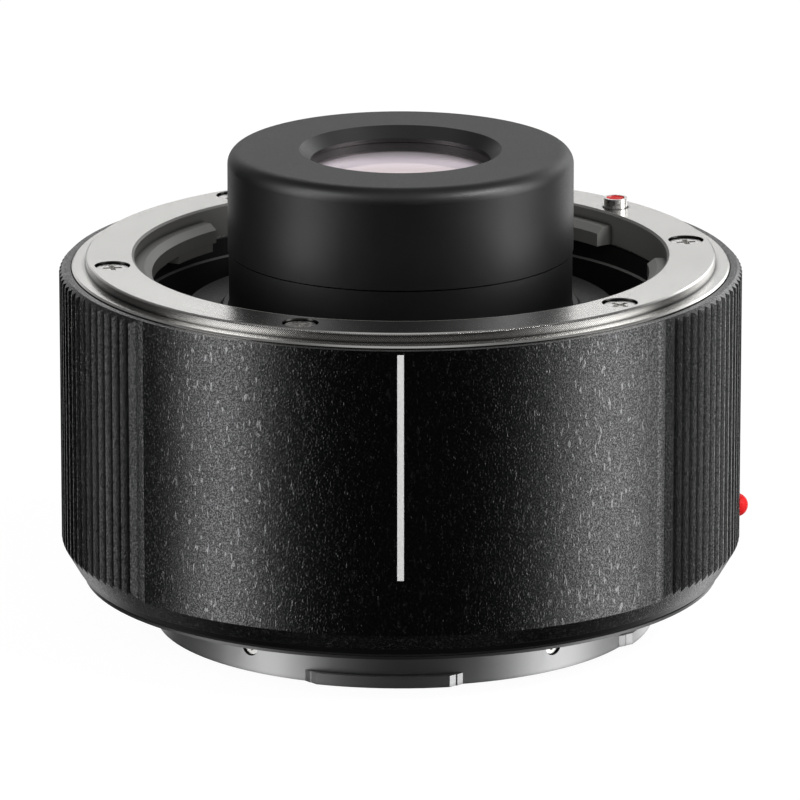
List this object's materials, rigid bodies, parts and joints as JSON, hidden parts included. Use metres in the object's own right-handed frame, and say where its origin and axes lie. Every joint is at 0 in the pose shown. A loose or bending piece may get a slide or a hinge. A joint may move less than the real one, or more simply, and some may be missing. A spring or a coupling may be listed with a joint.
{
  "type": "camera teleconverter",
  "caption": "Short round lens extender with a protruding front optic in a silver bayonet ring, ribbed black body, sprung lock pin with thumb slider, and a rear bayonet with contacts.",
  "frame": {"origin": "on the optical axis at the rear end of the rear bayonet tube, where the part stands", "axes": "+Z along the optical axis towards the front lens side, +X towards the index ball, -Y towards the smooth panel with the white index line"},
  "size_m": [0.0723, 0.0704, 0.0506],
  "materials": {
    "grain_black": "black leather-grain coating on aluminium",
    "black_alloy": "matt black anodised",
    "barrel_black": "satin black anodised",
    "front_metal": "fine turned satin",
    "rear_metal": "fine turned satin",
    "screw_metal": "satin",
    "spring_steel": "bare spring steel",
    "black_plastic": "matt black",
    "board_green": "solder mask",
    "cable_amber": "flexible film",
    "gold_contact": "gold plated",
    "red": "glossy red",
    "seal_rubber": "matt",
    "coated_glass": "polished and coated"
  },
  "bodies": {
    "housing": {"body_shell": "grain_black", "index_ball": "red", "front_mount_ring": "front_metal", "front_mount_screws": "screw_metal", "bayonet_spring": "spring_steel", "lock_spring": "spring_steel", "inner_frame": "black_alloy", "inner_cover": "black_plastic", "front_barrel": "barrel_black", "barrel_cap": "barrel_black", "front_retaining_ring": "black_alloy", "spacer_front": "black_alloy", "spacer_mid": "black_alloy", "spacer_rear": "black_alloy", "rear_retaining_ring": "black_alloy", "barrel_screws": "screw_metal", "front_contact_block": "black_plastic", "circuit_board": "board_green", "controller_chip": "black_plastic", "front_flex_cable": "cable_amber", "rear_flex_cable": "cable_amber", "rear_contact_block": "black_plastic", "rear_contacts": "gold_contact", "rear_mount": "rear_metal", "rear_mount_screws": "screw_metal", "rear_seal": "seal_rubber", "rear_baffle": "black_plastic", "rear_baffle_screws": "screw_metal", "lens_1": "coated_glass", "lens_2": "coated_glass", "lens_3": "coated_glass", "lens_4": "coated_glass", "lens_5": "coated_glass", "lens_6": "coated_glass", "lens_7": "coated_glass", "lens_8": "coated_glass"},
    "lock": {"lock_pin": "screw_metal", "lock_pin_mark": "red", "release_lever": "spring_steel", "release_button": "black_plastic"},
    "contact_1": {"contact_pin_1": "gold_contact"},
    "contact_2": {"contact_pin_2": "gold_contact"},
    "contact_3": {"contact_pin_3": "gold_contact"},
    "contact_4": {"contact_pin_4": "gold_contact"},
    "contact_5": {"contact_pin_5": "gold_contact"},
    "contact_6": {"contact_pin_6": "gold_contact"},
    "contact_7": {"contact_pin_7": "gold_contact"},
    "contact_8": {"contact_pin_8": "gold_contact"},
    "contact_9": {"contact_pin_9": "gold_contact"},
    "contact_10": {"contact_pin_10": "gold_contact"}
  },
  "joints": [
    {"name": "lock_slide", "type": "slide", "parent": "housing", "child": "lock", "axis": [0, 0, -1], "range_m": [0, 0.0016], "stiffness_N_per_m": 500, "springref_m": -0.003, "deforming": ["lock_spring"]},
    {"name": "contact_1_press", "type": "slide", "parent": "housing", "child": "contact_1", "axis": [0, 0, -1], "range_m": [0, 0.0007], "stiffness_N_per_m": 100, "springref_m": -0.004},
    {"name": "contact_2_press", "type": "slide", "parent": "housing", "child": "contact_2", "axis": [0, 0, -1], "range_m": [0, 0.0007], "stiffness_N_per_m": 100, "springref_m": -0.004},
    {"name": "contact_3_press", "type": "slide", "parent": "housing", "child": "contact_3", "axis": [0, 0, -1], "range_m": [0, 0.0007], "stiffness_N_per_m": 100, "springref_m": -0.004},
    {"name": "contact_4_press", "type": "slide", "parent": "housing", "child": "contact_4", "axis": [0, 0, -1], "range_m": [0, 0.0007], "stiffness_N_per_m": 100, "springref_m": -0.004},
    {"name": "contact_5_press", "type": "slide", "parent": "housing", "child": "contact_5", "axis": [0, 0, -1], "range_m": [0, 0.0007], "stiffness_N_per_m": 100, "springref_m": -0.004},
    {"name": "contact_6_press", "type": "slide", "parent": "housing", "child": "contact_6", "axis": [0, 0, -1], "range_m": [0, 0.0007], "stiffness_N_per_m": 100, "springref_m": -0.004},
    {"name": "contact_7_press", "type": "slide", "parent": "housing", "child": "contact_7", "axis": [0, 0, -1], "range_m": [0, 0.0007], "stiffness_N_per_m": 100, "springref_m": -0.004},
    {"name": "contact_8_press", "type": "slide", "parent": "housing", "child": "contact_8", "axis": [0, 0, -1], "range_m": [0, 0.0007], "stiffness_N_per_m": 100, "springref_m": -0.004},
    {"name": "contact_9_press", "type": "slide", "parent": "housing", "child": "contact_9", "axis": [0, 0, -1], "range_m": [0, 0.0007], "stiffness_N_per_m": 100, "springref_m": -0.004},
    {"name": "contact_10_press", "type": "slide", "parent": "housing", "child": "contact_10", "axis": [0, 0, -1], "range_m": [0, 0.0007], "stiffness_N_per_m": 100, "springref_m": -0.004}
  ]
}
